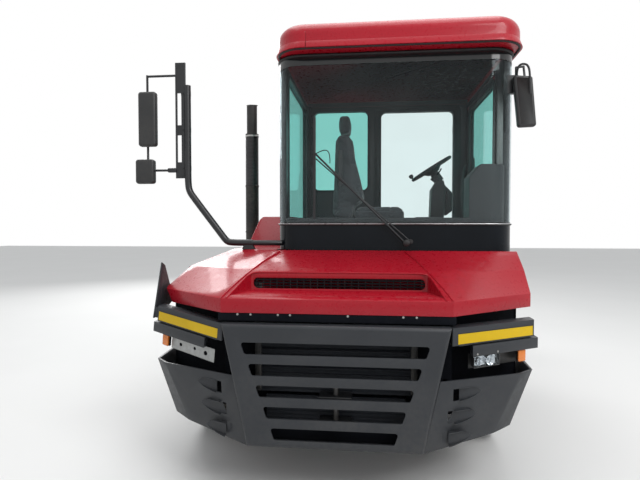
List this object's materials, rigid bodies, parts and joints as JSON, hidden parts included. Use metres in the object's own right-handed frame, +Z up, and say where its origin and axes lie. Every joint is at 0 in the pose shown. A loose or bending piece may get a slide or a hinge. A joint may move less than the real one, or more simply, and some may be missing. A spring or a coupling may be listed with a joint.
{
  "type": "terminal tractor",
  "caption": "Terminal tractor with an offset glass cab, slotted front bumper, twin rear wheels, lift boom and fifth wheel.",
  "frame": {"origin": "on the ground, on the centre plane, under the rear axle", "axes": "+Z up, the front faces -Y, +X is the vehicle's left"},
  "size_m": [2.9901, 5.838, 3.1398],
  "materials": {
    "red_paint": "glossy red paint",
    "bumper_grey": "dark grey moulded plastic, satin",
    "yellow_stripe": "yellow reflective tape",
    "lamp_clear": "clear lamp lens",
    "lamp_red": "red and amber lamp lens",
    "chassis_paint": "dark grey chassis paint",
    "cooler": "black painted cooler core",
    "black_plastic": "black moulded plastic",
    "black_frame": "black satin paint",
    "black_gloss": "black gloss panel",
    "tinted_glass": "lightly tinted safety glass",
    "trim_grey": "grey interior trim",
    "trim_dark": "dark interior trim",
    "seat_fabric": "dark woven seat fabric",
    "engine_iron": "painted iron",
    "stack_black": "heat-proof black",
    "tank_alloy": "plain alloy",
    "step_steel": "dark coated steel",
    "spring_steel": "black spring steel",
    "rim_paint": "silver wheel paint",
    "tyre": "road tyre rubber",
    "coupling_iron": "greased cast iron",
    "rod_chrome": "chromed rod"
  },
  "bodies": {
    "chassis": {"frame_rails": "chassis_paint", "cross_members": "chassis_paint", "bumper_grille": "bumper_grey", "bumper_wing_left": "bumper_grey", "bumper_wing_right": "bumper_grey", "bumper_stripes": "yellow_stripe", "front_lamps": "lamp_clear", "tail_lamps": "lamp_red", "corner_mouldings": "bumper_grey", "front_beam": "chassis_paint", "radiator": "cooler", "hood": "red_paint", "hood_grille": "black_plastic", "rear_cowl": "red_paint", "engine": "engine_iron", "exhaust": "stack_black", "battery_box": "black_plastic", "fuel_tank": "tank_alloy", "cab_steps": "step_steel", "fenders": "black_plastic", "cab_mounts": "chassis_paint", "cab_floor": "black_frame", "cab_front_panel": "black_gloss", "windscreen": "tinted_glass", "cab_side_left": "black_frame", "cab_side_right": "black_frame", "cab_rear_wall": "black_frame", "cab_fixed_glass": "tinted_glass", "roof": "red_paint", "cab_trim": "trim_grey", "front_axle": "chassis_paint", "leaf_springs": "spring_steel", "rear_axle": "chassis_paint", "mirror_arms": "black_frame", "mirror_heads": "black_plastic", "wiper": "black_frame"},
    "knuckle_left": {"knuckle_left": "chassis_paint"},
    "knuckle_right": {"knuckle_right": "chassis_paint"},
    "track_rod": {"track_rod": "chassis_paint"},
    "front_wheel_left": {"front_rim_left": "rim_paint", "front_tyre_left": "tyre"},
    "front_wheel_right": {"front_rim_right": "rim_paint", "front_tyre_right": "tyre"},
    "rear_wheels_left": {"rear_rims_left": "rim_paint", "rear_tyres_left": "tyre"},
    "rear_wheels_right": {"rear_rims_right": "rim_paint", "rear_tyres_right": "tyre"},
    "door_left": {"door_left": "red_paint", "door_left_glass": "tinted_glass"},
    "door_rear": {"door_rear": "black_frame", "door_rear_glass": "tinted_glass"},
    "driver_station": {"station_platform": "trim_dark", "driver_seat": "seat_fabric"},
    "steering_wheel": {"steering_wheel": "trim_dark"},
    "boom": {"boom": "chassis_paint"},
    "fifth_wheel": {"fifth_wheel": "coupling_iron"},
    "lift_barrels": {"lift_barrels": "chassis_paint"},
    "lift_rods": {"lift_rods": "rod_chrome"}
  },
  "joints": [
    {"name": "steer_left", "type": "hinge", "parent": "chassis", "child": "knuckle_left", "pos_m": [0.86, -3.2, 0.538], "axis": [0, 0, 1], "range_deg": [-35, 35]},
    {"name": "steer_right", "type": "hinge", "parent": "chassis", "child": "knuckle_right", "pos_m": [-0.86, -3.2, 0.538], "axis": [0, 0, 1], "range_deg": [-35, 35]},
    {"name": "track_rod_pivot", "type": "hinge", "parent": "knuckle_left", "child": "track_rod", "pos_m": [0.86, -2.96, 0.386], "axis": [0, 0, 1], "range_deg": [-35, 35]},
    {"name": "front_wheel_left_spin", "type": "hinge", "parent": "knuckle_left", "child": "front_wheel_left", "pos_m": [1.05, -3.2, 0.538], "axis": [1, 0, 0], "continuous": true},
    {"name": "front_wheel_right_spin", "type": "hinge", "parent": "knuckle_right", "child": "front_wheel_right", "pos_m": [-1.05, -3.2, 0.538], "axis": [1, 0, 0], "continuous": true},
    {"name": "rear_wheels_left_spin", "type": "hinge", "parent": "chassis", "child": "rear_wheels_left", "pos_m": [0.91, 0, 0.538], "axis": [1, 0, 0], "continuous": true},
    {"name": "rear_wheels_right_spin", "type": "hinge", "parent": "chassis", "child": "rear_wheels_right", "pos_m": [-0.91, 0, 0.538], "axis": [1, 0, 0], "continuous": true},
    {"name": "door_left_swing", "type": "hinge", "parent": "chassis", "child": "door_left", "pos_m": [1.266, -3.286, 2], "axis": [0, 0, 1], "range_deg": [-85, 0]},
    {"name": "door_rear_swing", "type": "hinge", "parent": "chassis", "child": "door_rear", "pos_m": [1.136, -2.034, 2], "axis": [0, 0, 1], "range_deg": [-90, 0]},
    {"name": "station_swivel", "type": "hinge", "parent": "chassis", "child": "driver_station", "pos_m": [0.295, -2.87, 1.35], "axis": [0, 0, 1], "range_deg": [-90, 90]},
    {"name": "steering_wheel_turn", "type": "hinge", "parent": "driver_station", "child": "steering_wheel", "pos_m": [0.765, -2.87, 2.16], "axis": [-0.5299, 0, 0.848], "range_deg": [-490, 490]},
    {"name": "boom_lift", "type": "hinge", "parent": "chassis", "child": "boom", "pos_m": [0, -1.75, 0.985], "axis": [1, 0, 0], "range_deg": [0, 20]},
    {"name": "fifth_wheel_tilt", "type": "hinge", "parent": "boom", "child": "fifth_wheel", "pos_m": [0, -0.3, 1.06], "axis": [1, 0, 0], "range_deg": [-20, 8]},
    {"name": "lift_barrel_tilt", "type": "hinge", "parent": "chassis", "child": "lift_barrels", "pos_m": [0, -1.415, 0.675], "axis": [1, 0, 0], "range_deg": [0, 11.08]},
    {"name": "lift_rod_slide", "type": "slide", "parent": "lift_barrels", "child": "lift_rods", "axis": [0, 0.4172, 0.9088], "range_m": [0, 0.14574]}
  ],
  "couplings": [
    {"joint": "steer_right", "follows": "steer_left", "ratio": 1},
    {"joint": "track_rod_pivot", "follows": "steer_left", "ratio": -1},
    {"joint": "steering_wheel_turn", "follows": "steer_left", "ratio": 14},
    {"joint": "lift_barrel_tilt", "follows": "boom_lift", "ratio": 0.55337},
    {"joint": "lift_rod_slide", "follows": "boom_lift", "m_per_rad": 0.41721}
  ]
}
